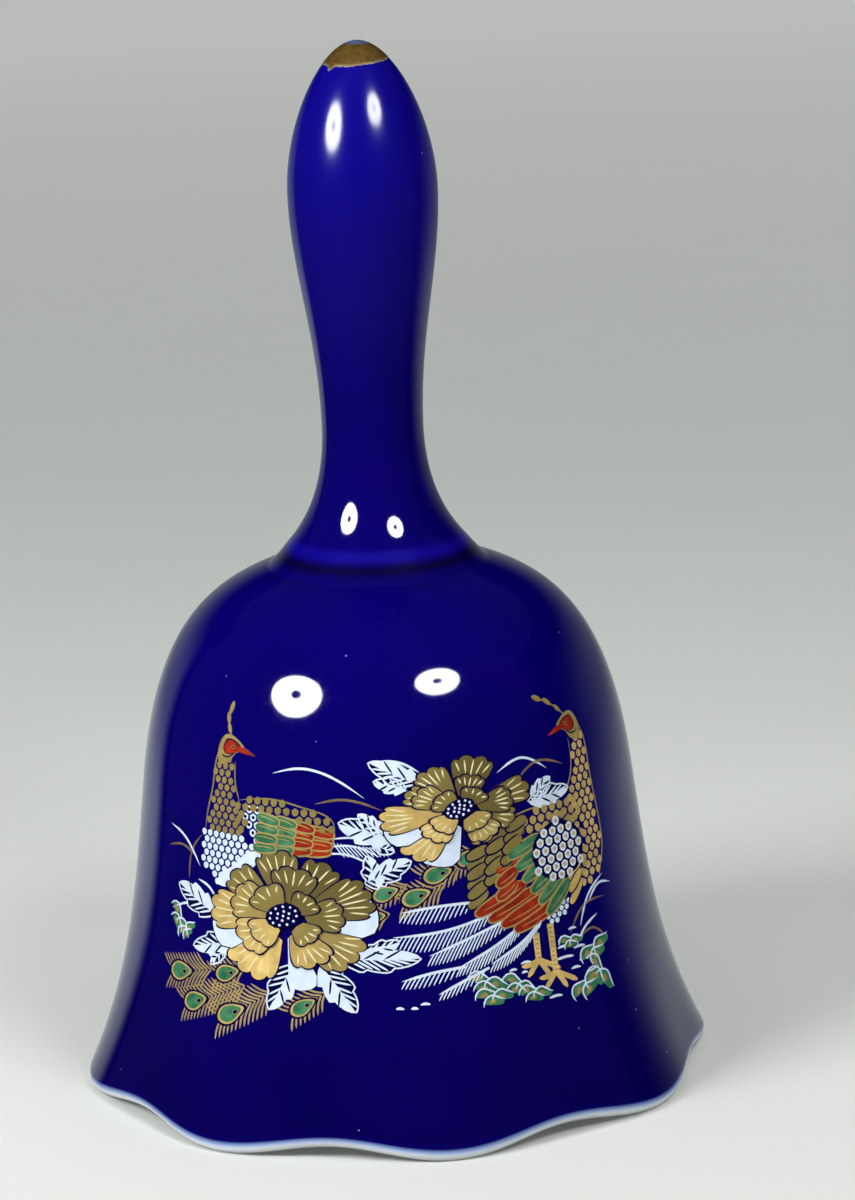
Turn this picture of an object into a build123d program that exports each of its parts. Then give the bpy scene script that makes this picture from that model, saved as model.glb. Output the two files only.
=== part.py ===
from build123d import *
import math
import os

# A porcelain hand bell: a slip-cast bell with a lobed rim, a hollow handle set on its
# crown, and a porcelain clapper ball hung inside on a brass wire and two chain links.
# Millimetres, +Z up. The origin is on the bell's axis, on the plane that the ground
# lobes of the rim rest on. The painted side of the bell faces -Y.

# Bell: the outside profile as (radius, height), at the mean of the lobes. It is a dome and a
# skirt, each one curve, that meet at the waist with a common lean. A pull is where a curve
# heads for as it leaves a point, given as a place or as a distance along the lean
CROWN_RADIUS = 11.6
CROWN_HEIGHT = 68.0
DOME_PULL = (19.5, 65.0)
WAIST_RADIUS = 31.6
WAIST_HEIGHT = 40.0
WAIST_LEAN = 0.12
WAIST_PULL_UP = 23.0
WAIST_PULL_DOWN = 14.0
SKIRT_PULL = (34.5, 14.0)
RIM = (39.8, 1.7)
WALL = 2.5

# Rim: lobes that push the skirt in and out and lift it between them. They are ground
# flat where they stand, at height 0
LOBES = 8
FIRST_LOBE = math.radians(-80)
LOBE_REACH = 1.0
RIM_LIFT = 1.5
FLUTE_HEIGHT = 34.0
POINTS_PER_LOBE = 12
WALL_RINGS = 16
LIP_RINGS = 8

# Handle: a rounded foot, then three curves that go in to the neck, out to the grip and over
# to the blunt tip. They are upright at the neck and the grip and level at the tip
HEIGHT = 134.0
FOOT_RADIUS = 11.3
FOOT_BULGE = (11.8, 69.0)
FOOT_TOP = (11.3, 70.2)
FOOT_PULL = (8.5, 73.5)
NECK_RADIUS = 6.5
NECK_HEIGHT = 85.0
NECK_PULL_DOWN = 7.0
NECK_PULL_UP = 12.0
GRIP_RADIUS = 9.5
GRIP_HEIGHT = 115.0
GRIP_PULL_DOWN = 10.0
GRIP_PULL_UP = 9.0
TIP_PULL = 4.5

# The hollow that casting leaves inside the handle
HOLLOW_FOOT = (8.0, 71.6)
HOLLOW_FOOT_PULL = (6.0, 75.0)
HANDLE_WALL = 2.5
HOLLOW_TOP = 129.0
HOLLOW_TIP_PULL = 2.5

# Crown hole, and the plaster plug that closes it and holds the staple
HOLE_RADIUS = 4.5
PLUG_SLACK = 0.05
PLUG_LIP_RADIUS = 6.0
PLUG_ABOVE = 1.6
PLUG_BELOW = 1.4
PLUG_ROUND = 0.8

# Staple, chain links and clapper wire, all bent from one gauge of brass wire
WIRE = 0.8
GAP = 0.1
STAPLE_RADIUS = 2.8
STAPLE_LEG = 0.7
STAPLE_BURIED = 4.0
STAPLE_TOE = 1.0
STAPLE_BEND = 0.8
LINK_RADIUS = 2.8
LINK_STRAIGHT = 1.6
EYE_RADIUS = 2.4

# Clapper ball, threaded on the wire above a closed curl
BALL_RADIUS = 6.5
BALL_HEIGHT = 19.0
BALL_FLAT = 1.6
RUNNING_CLEARANCE = 0.08
CURL_RADIUS = 1.5
SEAT_GAP = 0.1

# Heights of the wire centres, from the plug down: each piece hangs over the one above
CROWN_UNDERSIDE = CROWN_HEIGHT - WALL
PLUG_BOTTOM = CROWN_UNDERSIDE - PLUG_BELOW
STAPLE_BOTTOM = PLUG_BOTTOM - STAPLE_LEG - STAPLE_RADIUS
UPPER_LINK_TOP = STAPLE_BOTTOM + WIRE + GAP
UPPER_LINK_BOTTOM = UPPER_LINK_TOP - 2 * LINK_RADIUS - LINK_STRAIGHT
LOWER_LINK_TOP = UPPER_LINK_BOTTOM + WIRE + GAP
LOWER_LINK_BOTTOM = LOWER_LINK_TOP - 2 * LINK_RADIUS - LINK_STRAIGHT
EYE_TOP = LOWER_LINK_BOTTOM + WIRE + GAP
BALL_HALF = math.sqrt(BALL_RADIUS**2 - BALL_FLAT**2)
CURL_TOP = BALL_HEIGHT - BALL_HALF - SEAT_GAP - WIRE / 2


def flute(height):
    """Share of the lobes' full size at a height: all of it at the rim, none above the flutes."""
    return max(0.0, 1 - height / FLUTE_HEIGHT) ** 2


def ring(profile_point):
    """A closed curve round the axis through a profile point, with the lobes applied."""
    points = []
    for i in range(LOBES * POINTS_PER_LOBE):
        turn = 2 * math.pi * i / (LOBES * POINTS_PER_LOBE)
        wave = math.cos(LOBES * turn)
        size = flute(profile_point.Y)
        r = profile_point.X + LOBE_REACH * size * wave
        z = profile_point.Y + RIM_LIFT * size * (1 - wave) / 2
        points.append(Vector(r * math.cos(FIRST_LOBE + turn), r * math.sin(FIRST_LOBE + turn), z))
    return Wire([Edge.make_spline(points, periodic=True)])


def bell_outline():
    """The dome from the crown to the waist, then the skirt down to the rim."""
    waist = (WAIST_RADIUS, WAIST_HEIGHT)
    above = (WAIST_RADIUS - WAIST_LEAN * WAIST_PULL_UP, WAIST_HEIGHT + WAIST_PULL_UP)
    below = (WAIST_RADIUS + WAIST_LEAN * WAIST_PULL_DOWN, WAIST_HEIGHT - WAIST_PULL_DOWN)
    dome = Bezier((CROWN_RADIUS, CROWN_HEIGHT), DOME_PULL, above, waist)
    skirt = Bezier(waist, below, SKIRT_PULL, RIM)
    return Wire([dome, skirt])


def make_bell_body():
    """The bell: outer wall, rounded lip and inner wall lofted through rings, with a holed crown."""
    outline = bell_outline()
    steps = [i / WALL_RINGS for i in range(WALL_RINGS + 1)]
    outer = [outline @ t for t in steps]
    inner = [outline @ t - (outline % t).rotate(Axis.Z, 90) * WALL for t in steps]
    inner[0] = Vector(CROWN_RADIUS - WALL / 2, CROWN_UNDERSIDE)
    centre = (outer[-1] + inner[-1]) / 2
    spoke = outer[-1] - centre
    lip = [centre + spoke.rotate(Axis.Z, -180 * i / LIP_RINGS) for i in range(1, LIP_RINGS)]

    outer_rings = [ring(point) for point in outer]
    inner_rings = [ring(point) for point in inner]
    lip_rings = [outer_rings[-1], *[ring(point) for point in lip], inner_rings[-1]]
    faces = [Face(outer_rings[0]), Face(inner_rings[0])]
    for rings in (outer_rings, lip_rings, inner_rings):
        faces += Shell.make_loft(rings).faces()
    bell = Solid(Shell(faces))

    hole = Pos(0, 0, CROWN_HEIGHT) * Cylinder(HOLE_RADIUS, 4 * WALL)
    width = 3 * RIM[0]
    below_ground = Pos(0, 0, -WALL) * Box(width, width, 2 * WALL)
    return bell - hole - below_ground


def handle_curves(foot, foot_pull, inset, top, tip_pull):
    """The handle's three curves from a foot point to a top on the axis, a wall's inset inwards."""
    neck = NECK_RADIUS - inset
    grip = GRIP_RADIUS - inset
    return [
        Bezier(foot, foot_pull, (neck, NECK_HEIGHT - NECK_PULL_DOWN), (neck, NECK_HEIGHT)),
        Bezier(
            (neck, NECK_HEIGHT),
            (neck, NECK_HEIGHT + NECK_PULL_UP),
            (grip, GRIP_HEIGHT - GRIP_PULL_DOWN),
            (grip, GRIP_HEIGHT),
        ),
        Bezier((grip, GRIP_HEIGHT), (grip, GRIP_HEIGHT + GRIP_PULL_UP), (tip_pull, top), (0, top)),
    ]


def make_handle():
    """The handle: a hollow turned shape, open underneath, that stands on the crown."""
    foot = (FOOT_RADIUS, CROWN_HEIGHT)
    hollow_edge = (HOLLOW_FOOT[0], CROWN_HEIGHT)
    outline = Curve() + [
        ThreePointArc(foot, FOOT_BULGE, FOOT_TOP),
        *handle_curves(FOOT_TOP, FOOT_PULL, 0, HEIGHT, TIP_PULL),
        Line((0, HEIGHT), (0, HOLLOW_TOP)),
        *handle_curves(HOLLOW_FOOT, HOLLOW_FOOT_PULL, HANDLE_WALL, HOLLOW_TOP, HOLLOW_TIP_PULL),
        Line(HOLLOW_FOOT, hollow_edge),
        Line(hollow_edge, foot),
    ]
    return revolve(Plane.XZ * make_face(outline), Axis.Z)


def bent_wire(path):
    """Round wire along a path."""
    section = Plane(origin=path @ 0, z_dir=path % 0) * Circle(WIRE / 2)
    return sweep(section, path)


def make_staple():
    """The U of wire that the chain hangs from, its toes turned outwards in the plaster."""
    arc_height = STAPLE_BOTTOM + STAPLE_RADIUS
    top = PLUG_BOTTOM + STAPLE_BURIED
    legs = []
    for side in (-1, 1):
        x = side * STAPLE_RADIUS
        toe = x + side * STAPLE_TOE
        legs.append(FilletPolyline((toe, top), (x, top), (x, arc_height), radius=STAPLE_BEND))
    path = Curve() + [legs[0], CenterArc((0, arc_height), STAPLE_RADIUS, 180, 180), legs[1]]
    return bent_wire(Plane.XZ * path)


def make_plug(staple):
    """The plaster: a neck that fills the crown hole and a rounded lip on each side of it."""
    neck_height = PLUG_ABOVE + WALL + PLUG_BELOW
    plug = Pos(0, 0, PLUG_BOTTOM + neck_height / 2) * Cylinder(HOLE_RADIUS - PLUG_SLACK, neck_height)
    for bottom, height, outer_side in ((CROWN_HEIGHT, PLUG_ABOVE, -1), (PLUG_BOTTOM, PLUG_BELOW, 0)):
        lip = Cylinder(PLUG_LIP_RADIUS, height)
        lip = fillet(lip.edges().group_by(Axis.Z)[outer_side], PLUG_ROUND)
        plug += Pos(0, 0, bottom + height / 2) * lip
    return plug - staple


def make_link(top, plane):
    """A chain link whose highest wire centre is at the given height, in the given plane."""
    path = SlotCenterToCenter(LINK_STRAIGHT, 2 * LINK_RADIUS, rotation=90).wire()
    centre = Pos(0, 0, top - LINK_RADIUS - LINK_STRAIGHT / 2)
    return centre * bent_wire(plane * path)


def make_clapper_wire():
    """The clapper wire: an eye over the lower link, a stem, and a curl that holds the ball."""
    eye = Pos(0, 0, EYE_TOP - EYE_RADIUS) * Rot(0, 90, 0) * Torus(EYE_RADIUS, WIRE / 2)
    curl = Pos(0, 0, CURL_TOP - CURL_RADIUS) * Rot(0, 90, 0) * Torus(CURL_RADIUS, WIRE / 2)
    stem_top = EYE_TOP - 2 * EYE_RADIUS
    stem = Pos(0, 0, (stem_top + CURL_TOP) / 2) * Cylinder(WIRE / 2, stem_top - CURL_TOP)
    return eye + stem + curl


def make_ball():
    """The clapper ball, with a small flat at each end of its bore."""
    ball = Sphere(BALL_RADIUS) & Box(3 * BALL_RADIUS, 3 * BALL_RADIUS, 2 * BALL_HALF)
    bore = Cylinder(WIRE / 2 + RUNNING_CLEARANCE, 3 * BALL_RADIUS)
    return Pos(0, 0, BALL_HEIGHT) * (ball - bore)


def make_nodes():
    """Every node by name."""
    staple = make_staple()
    return {
        "bell_body": make_bell_body(),
        "handle": make_handle(),
        "crown_plug": make_plug(staple),
        "hanger_staple": staple,
        "upper_link": make_link(UPPER_LINK_TOP, Plane.YZ),
        "lower_link": make_link(LOWER_LINK_TOP, Plane.XZ),
        "clapper_wire": make_clapper_wire(),
        "clapper_ball": make_ball(),
    }


os.makedirs("parts", exist_ok=True)
for name, solid in make_nodes().items():
    export_step(solid, f"parts/{name}.step")
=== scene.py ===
"""A porcelain hand bell: cobalt glaze, painted birds and peonies, a gilded tip and a hung clapper.

Everything is built in millimetres and scaled to metres when it becomes a mesh. The bell and the
handle are redrawn as smooth meshes on the frame's outline, with a fillet of glaze at the handle's
foot. The plug, the wires and the ball keep their shape from the frame.
"""
import math
import random

import bpy
import numpy as np
from mathutils import Matrix, Vector
from mathutils.geometry import delaunay_2d_cdt


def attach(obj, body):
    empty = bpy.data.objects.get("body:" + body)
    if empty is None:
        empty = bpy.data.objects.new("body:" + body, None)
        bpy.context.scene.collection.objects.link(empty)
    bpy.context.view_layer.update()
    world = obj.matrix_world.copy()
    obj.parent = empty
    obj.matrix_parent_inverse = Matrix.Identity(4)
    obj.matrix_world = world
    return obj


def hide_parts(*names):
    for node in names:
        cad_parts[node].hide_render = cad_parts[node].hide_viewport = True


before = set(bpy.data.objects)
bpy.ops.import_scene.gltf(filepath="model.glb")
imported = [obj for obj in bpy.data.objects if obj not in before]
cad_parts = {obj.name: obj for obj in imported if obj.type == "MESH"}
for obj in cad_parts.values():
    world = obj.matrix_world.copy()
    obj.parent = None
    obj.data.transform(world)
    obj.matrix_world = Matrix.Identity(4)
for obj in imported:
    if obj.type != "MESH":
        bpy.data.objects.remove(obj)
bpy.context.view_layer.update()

MM = 0.001

# Bell: a dome and a skirt, each one curve, that meet at the waist. The same as the frame's
CROWN = (11.6, 68.0)
DOME_PULL = (19.5, 65.0)
WAIST = (31.6, 40.0)
WAIST_LEAN = 0.12
WAIST_PULL_UP = 23.0
WAIST_PULL_DOWN = 14.0
SKIRT_PULL = (34.5, 14.0)
RIM = (39.8, 1.7)
WALL = 2.5
HOLE_RADIUS = 4.5
LOBES = 8
FIRST_LOBE = math.radians(-80)
LOBE_REACH = 1.0
RIM_LIFT = 1.5
FLUTE_HEIGHT = 34.0

# Handle: a foot that the glaze rounds into the dome, then in to the neck, out to the grip and
# over to the tip, and a hollow that keeps a wall inside it. The same as the frame's above the foot
TIP_HEIGHT = 134.0
FOOT_CURVE = ((14.6, 66.8), (13.7, 67.2), (12.3, 69.0), (11.3, 70.2))
FOOT_PULL = (8.5, 73.5)
NECK_RADIUS = 6.5
NECK_HEIGHT = 85.0
NECK_PULL_DOWN = 7.0
NECK_PULL_UP = 12.0
GRIP_RADIUS = 9.5
GRIP_HEIGHT = 115.0
GRIP_PULL_DOWN = 10.0
GRIP_PULL_UP = 9.0
TIP_PULL = 4.5
HOLLOW_FOOT = (8.0, 71.6)
HOLLOW_FOOT_PULL = (6.0, 75.0)
HANDLE_WALL = 2.5
HOLLOW_TOP = 129.0
HOLLOW_TIP_PULL = 2.5
BURIED = 66.4
SEGMENTS = 256

# Gilding on the tip: how low it reaches, its slant, and how thick it is
GILT_EDGE = 131.5
GILT_SLANT = 0.3
GILT_LIFT = 0.03

# Painting: s runs to the right round the bell at this radius, and z is the height. Each ink
# is one piece, and its strokes lie in thin levels
PAINT_RADIUS = 32.0
INK_BASE = 0.012
INK_LEVEL = 0.006
INK_STEP = 0.0001
INK_STEPS = 12
INK_SPACING = 0.8
# The bearing round each flower towards which its gold petals are painted lighter: painted light, with petals
# facing away painted darker as shade
SUNNY_SIDE = 235.0


# ---------------------------------------------------------------- curves and meshes

def bezier(start, first_pull, second_pull, end, count=60):
    """Points along a cubic Bezier curve."""
    t = np.linspace(0, 1, count)[:, None]
    corners = np.array((start, first_pull, second_pull, end), float)
    weights = ((1 - t) ** 3, 3 * (1 - t) ** 2 * t, 3 * (1 - t) * t**2, t**3)
    return sum(weight * corner for weight, corner in zip(weights, corners))


def joined(*curves):
    """Curves that meet end to end as one run of points."""
    return np.vstack([curves[0], *[curve[1:] for curve in curves[1:]]])


def smooth_curve(points, count):
    """Points along a smooth curve through the given ones, evenly spread by length."""
    points = np.array(points, float)
    steps = np.linalg.norm(np.diff(points, axis=0), axis=1)
    t = np.concatenate([[0.0], np.cumsum(steps)])
    n = len(points)
    system = np.zeros((n, n))
    right = np.zeros((n, points.shape[1]))
    system[0, 0] = system[-1, -1] = 1.0
    slopes = np.diff(points, axis=0) / steps[:, None]
    for i in range(1, n - 1):
        system[i, i - 1 : i + 2] = steps[i - 1], 2 * (steps[i - 1] + steps[i]), steps[i]
        right[i] = 6 * (slopes[i] - slopes[i - 1])
    bend = np.linalg.solve(system, right)
    where = np.linspace(0.0, t[-1], count)
    i = np.clip(np.searchsorted(t, where, side="right") - 1, 0, n - 2)
    h = steps[i][:, None]
    a = (t[i + 1] - where)[:, None] / h
    b = 1.0 - a
    return a * points[i] + b * points[i + 1] + ((a**3 - a) * bend[i] + (b**3 - b) * bend[i + 1]) * h**2 / 6


def lobed(radius, height, angle):
    """The point at a mean radius and height and an angle round the axis, with the rim's lobes."""
    size = np.maximum(0.0, 1 - height / FLUTE_HEIGHT) ** 2
    wave = np.cos(LOBES * (angle - FIRST_LOBE))
    r = radius + LOBE_REACH * size * wave
    z = height + RIM_LIFT * size * (1 - wave) / 2
    return np.stack([r * np.cos(angle), r * np.sin(angle), np.maximum(z, 0.0)], axis=-1)


def band(values, centre, width):
    """1 at a centre, falling to 0 over about twice the width on each side."""
    return np.exp(-(((values - centre) / width) ** 2))


def turned_mesh(name, outline, shape=None):
    """A mesh that runs a closed outline of (radius, height) round the axis. A radius of 0 is one point."""
    angles = 2 * math.pi * np.arange(SEGMENTS) / SEGMENTS
    verts, rings = [], []
    for radius, height in outline:
        if radius < 1e-6:
            rings.append([len(verts)] * SEGMENTS)
            verts.append((0.0, 0.0, height))
            continue
        rings.append(list(range(len(verts), len(verts) + SEGMENTS)))
        if shape:
            verts.extend(map(tuple, shape(np.full(SEGMENTS, radius), np.full(SEGMENTS, height), angles)))
        else:
            verts.extend((radius * math.cos(a), radius * math.sin(a), height) for a in angles)
    faces = []
    for upper, lower in zip(rings, rings[1:] + rings[:1]):
        for i in range(SEGMENTS):
            j = (i + 1) % SEGMENTS
            corners = [upper[i], lower[i], lower[j], upper[j]]
            faces.append(list(dict.fromkeys(corners)))
    return new_object(name, verts, faces)


def new_object(name, verts, faces, sharp=40):
    """A smooth-shaded mesh object from points in millimetres."""
    mesh = bpy.data.meshes.new(name)
    mesh.from_pydata([tuple(MM * c for c in v) for v in verts], [], faces)
    mesh.validate()
    mesh.shade_smooth()
    mesh.set_sharp_from_angle(angle=math.radians(sharp))
    obj = bpy.data.objects.new(name, mesh)
    bpy.context.scene.collection.objects.link(obj)
    return obj


def paint(obj, name, values):
    """A number at each point of a mesh, for its material to read."""
    layer = obj.data.attributes.new(name, "FLOAT", "POINT")
    layer.data.foreach_set("value", np.asarray(values, dtype=np.float32))


# ---------------------------------------------------------------- materials

def new_material(name):
    """A new material and its node tree."""
    material = bpy.data.materials.new(name)
    material.use_nodes = True
    return material, material.node_tree


def connect(tree, value, socket):
    """Gives a socket a number or a colour, or links another node's output to it."""
    if isinstance(value, bpy.types.NodeSocket):
        tree.links.new(value, socket)
    elif isinstance(value, tuple):
        socket.default_value = (*value, 1.0)
    else:
        socket.default_value = value


def texture(tree, kind, scale):
    """A texture node in the object's own space, its scale in features per metre."""
    place = tree.nodes.new("ShaderNodeTexCoord")
    node = tree.nodes.new(kind)
    node.inputs["Scale"].default_value = scale
    tree.links.new(place.outputs["Object"], node.inputs["Vector"])
    return node


def noise(tree, scale, detail):
    """Noise from 0 to 1."""
    node = texture(tree, "ShaderNodeTexNoise", scale)
    node.inputs["Detail"].default_value = detail
    return node.outputs["Fac"]


def ramp(tree, value, *stops):
    """A value turned into colour through (place, colour) stops. A single number is a grey."""
    node = tree.nodes.new("ShaderNodeValToRGB")
    elements = node.color_ramp.elements
    while len(elements) < len(stops):
        elements.new(0.5)
    for element, (place, colour) in zip(elements, stops):
        element.position = place
        element.color = (*colour, 1.0) if isinstance(colour, tuple) else (colour, colour, colour, 1.0)
    tree.links.new(value, node.inputs["Fac"])
    return node.outputs["Color"]


def grain(tree, scale, *stops, detail=3.0):
    """Noise turned into colour through stops."""
    return ramp(tree, noise(tree, scale, detail), *stops)


def mixed(tree, share, first, second):
    """Two colours mixed by a share. Either can be an output or a fixed colour."""
    node = tree.nodes.new("ShaderNodeMix")
    node.data_type = "RGBA"
    tree.links.new(share, node.inputs["Factor"])
    connect(tree, first, node.inputs[6])
    connect(tree, second, node.inputs[7])
    return node.outputs[2]


def attribute(tree, name):
    """The number painted on a mesh under this name."""
    node = tree.nodes.new("ShaderNodeAttribute")
    node.attribute_name = name
    return node.outputs["Fac"]


def calculated(tree, operation, *values):
    """The result of a sum or a test on numbers and other nodes' outputs."""
    node = tree.nodes.new("ShaderNodeMath")
    node.operation = operation
    for value, socket in zip(values, node.inputs):
        connect(tree, value, socket)
    return node.outputs[0]


def scaled(tree, value, old, new=(0.0, 1.0)):
    """A value carried from one range to another."""
    node = tree.nodes.new("ShaderNodeMapRange")
    for name, limit in zip(("From Min", "From Max", "To Min", "To Max"), (*old, *new)):
        node.inputs[name].default_value = limit
    tree.links.new(value, node.inputs["Value"])
    return node.outputs["Result"]


def specks(tree, scale, size):
    """Small round specks: 1 inside a speck, 0 outside. About one cell in three has one."""
    cells = texture(tree, "ShaderNodeTexVoronoi", scale)
    parts = tree.nodes.new("ShaderNodeSeparateColor")
    tree.links.new(cells.outputs["Color"], parts.inputs["Color"])
    near = calculated(tree, "LESS_THAN", cells.outputs["Distance"], size)
    chosen = calculated(tree, "GREATER_THAN", parts.outputs["Red"], 0.66)
    return calculated(tree, "MULTIPLY", near, chosen)


def surface(tree, colour, roughness, grit, depth, metallic=0.0, detail=3.0):
    """Sets the shader's colour, roughness and share of metal, over a bump of noise: grit is the
    bump's scale and depth its height in metres."""
    shader = tree.nodes["Principled BSDF"]
    connect(tree, colour, shader.inputs["Base Color"])
    connect(tree, roughness, shader.inputs["Roughness"])
    shader.inputs["Metallic"].default_value = metallic
    bump = tree.nodes.new("ShaderNodeBump")
    bump.inputs["Strength"].default_value = 1.0
    bump.inputs["Distance"].default_value = depth
    tree.links.new(noise(tree, grit, detail), bump.inputs["Height"])
    tree.links.new(bump.outputs["Normal"], shader.inputs["Normal"])


def cobalt_glaze():
    """Cobalt glaze: thin and pale at edges, darker in creases and towards the rim, which is painted shade as
    well as glaze that pools, white where bare, and duller where soft.
    """
    material, tree = new_material("cobalt_glaze")
    colour = grain(tree, 60.0, (0.3, (0.0012, 0.0, 0.078)), (0.7, (0.0020, 0.0, 0.096)))
    # The second colour darkens creases and the skirt towards the rim: painted shade, with glaze that also
    # pools in the creases.
    for name, shade in (("thin", (0.006, 0.003, 0.30)), ("shade_and_pooling", (0.001, 0.0, 0.02)),
                        ("pale", (0.22, 0.33, 0.62)), ("bare", (0.70, 0.73, 0.76))):
        colour = mixed(tree, attribute(tree, name), colour, shade)
    dusted = mixed(tree, specks(tree, 260.0, 0.035), colour, (0.12, 0.11, 0.42))
    gloss = grain(tree, 900.0, (0.3, 0.035), (0.8, 0.075))
    dulled = mixed(tree, attribute(tree, "soft"), gloss, (0.14, 0.14, 0.14))
    surface(tree, dusted, dulled, 160.0, 0.00001, detail=1.0)
    tree.nodes["Principled BSDF"].inputs["IOR"].default_value = 1.5
    return material


def gilt():
    """Brownish fired gold, uneven and fine-grained, pale blue at the apex and lighter along its lower edge.
    """
    material, tree = new_material("gilt")
    base = grain(tree, 900.0, (0.3, (0.19, 0.105, 0.022)), (0.7, (0.34, 0.20, 0.05)))
    mark_share = ramp(tree, attribute(tree, "pale_apex"), (0.35, 0.0), (0.75, 1.0))
    tipped = mixed(tree, mark_share, base, (0.20, 0.30, 0.60))
    edged = mixed(tree, attribute(tree, "edge"), tipped, (0.75, 0.62, 0.38))
    satin = grain(tree, 2500.0, (0.3, 0.25), (0.7, 0.42))
    surface(tree, edged, satin, 3000.0, 0.00001, metallic=0.8)
    return material


def plaster():
    """Matt plaster, off-white, with pits and stains."""
    material, tree = new_material("plaster")
    stained = grain(tree, 400.0, (0.3, (0.52, 0.48, 0.40)), (0.7, (0.72, 0.69, 0.62)))
    surface(tree, stained, 0.92, 1500.0, 0.0001, detail=5.0)
    return material


def brass():
    """Drawn brass wire, satin, with brown tarnish in patches."""
    material, tree = new_material("brass")
    tarnish = grain(tree, 700.0, (0.42, 0.0), (0.68, 1.0))
    tarnished = mixed(tree, tarnish, (0.60, 0.42, 0.14), (0.16, 0.09, 0.035))
    satin = grain(tree, 700.0, (0.4, 0.24), (0.7, 0.5))
    surface(tree, tarnished, satin, 4000.0, 0.00002, metallic=0.95)
    return material


def white_glaze():
    """White glaze, a little warm, with fine specks from the clay."""
    material, tree = new_material("white_glaze")
    cloud = grain(tree, 90.0, (0.3, (0.70, 0.69, 0.66)), (0.7, (0.78, 0.77, 0.75)))
    speckled = mixed(tree, specks(tree, 700.0, 0.06), cloud, (0.35, 0.29, 0.22))
    gloss = grain(tree, 900.0, (0.3, 0.07), (0.8, 0.13))
    surface(tree, speckled, gloss, 300.0, 0.00002)
    return material


def enamel(name, dark, light, roughness):
    """Fired enamel that varies between two colours at the grain of its print."""
    material, tree = new_material("ink_" + name)
    surface(tree, grain(tree, 700.0, (0.35, dark), (0.65, light)), roughness, 2500.0, 0.00001)
    return material


def gold_ink():
    """Fired gold lustre, from dark olive to bright yellow by a number painted on the ink: the ink's own depth
    of colour, and on the flowers' petals painted light and shade as well.
    """
    material, tree = new_material("ink_gold")
    tone_and_light = calculated(tree, "MULTIPLY_ADD", attribute(tree, "tone_and_light"), 0.4, 0.42)
    lustre = ramp(tree, tone_and_light, (0.0, (0.08, 0.063, 0.013)), (0.45, (0.26, 0.20, 0.05)),
                  (0.85, (0.80, 0.56, 0.18)))
    # Duller patches where the gold wears away.
    mark_share = grain(tree, 500.0, (0.35, 0.0), (0.75, 0.5), detail=5.0)
    dulled = mixed(tree, mark_share, lustre, (0.12, 0.09, 0.03))
    surface(tree, dulled, 0.38, 2500.0, 0.00001, metallic=0.2)
    return material


INK_MATERIALS = {
    "white": lambda: enamel("white", (0.48, 0.57, 0.68), (0.56, 0.64, 0.75), 0.25),
    "gold": gold_ink,
    "pale_gold": lambda: enamel("pale_gold", (0.55, 0.50, 0.26), (0.68, 0.62, 0.38), 0.35),
    "green": lambda: enamel("green", (0.016, 0.10, 0.045), (0.05, 0.20, 0.10), 0.25),
    "red": lambda: enamel("red", (0.17, 0.010, 0.003), (0.32, 0.022, 0.006), 0.25),
    "navy": lambda: enamel("navy", (0.001, 0.0, 0.02), (0.002, 0.001, 0.045), 0.15),
    "brown": lambda: enamel("brown", (0.10, 0.065, 0.03), (0.17, 0.11, 0.05), 0.35),
}


# ---------------------------------------------------------------- bell and handle

def bell_outlines():
    """Outer wall from the crown down, lip, and inner wall from the lip up."""
    radius, height = WAIST
    above = (radius - WAIST_LEAN * WAIST_PULL_UP, height + WAIST_PULL_UP)
    below = (radius + WAIST_LEAN * WAIST_PULL_DOWN, height - WAIST_PULL_DOWN)
    outer = joined(bezier(CROWN, DOME_PULL, above, WAIST, 90), bezier(WAIST, below, SKIRT_PULL, RIM, 70))
    along = np.gradient(outer, axis=0)
    along /= np.linalg.norm(along, axis=1)[:, None]
    inwards = np.stack([along[:, 1], -along[:, 0]], axis=1)
    inner = outer + inwards * WALL
    centre = (outer[-1] + inner[-1]) / 2
    spoke = outer[-1] - centre
    turns = np.pi * np.arange(1, 16) / 16
    side = along[-1] * WALL / 2
    lip = centre + spoke * np.cos(turns)[:, None] + side * np.sin(turns)[:, None]
    return outer, lip, inner[::-1][::2]


def make_bell():
    """The bell's skin, closed over the crown and down its hole."""
    outer, lip, inner = bell_outlines()
    underside = CROWN[1] - WALL
    inner = [p for p in inner if p[1] < underside - 0.3]
    crown = [(CROWN[0] - WALL / 2, underside), (HOLE_RADIUS, underside), (HOLE_RADIUS, CROWN[1])]
    outline = np.array([*outer, *lip, *inner, *crown])
    bell = turned_mesh("bell_skin", outline, lobed)
    radii, heights = outline.T
    steps = np.linalg.norm(np.diff(outline, axis=0), axis=1)
    lengths = np.concatenate([[0], np.cumsum(steps)])
    past_lip = lengths - lengths[len(outer) - 1]
    # Painted shade: darker in the crease round the handle's foot, where glaze also pools, and darker down the
    # skirt towards the rim.
    crease_shade = 0.9 * band(radii, CROWN[0] + 1.0, 1.5)
    skirt_shade = 0.45 * np.clip((30 - heights) / 30, 0, 1)
    zones = {"thin": 0.0 * radii, "soft": 0.0 * radii,
             "shade_and_pooling": np.where(past_lip < 0, np.maximum(crease_shade, skirt_shade), 0.0),
             "pale": np.clip(past_lip / 0.55, 0, 1),
             "bare": np.clip((past_lip - 0.45) / 0.5, 0, 1)}
    for name, values in zones.items():
        paint(bell, name, np.repeat(values, SEGMENTS))
    return bell


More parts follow.
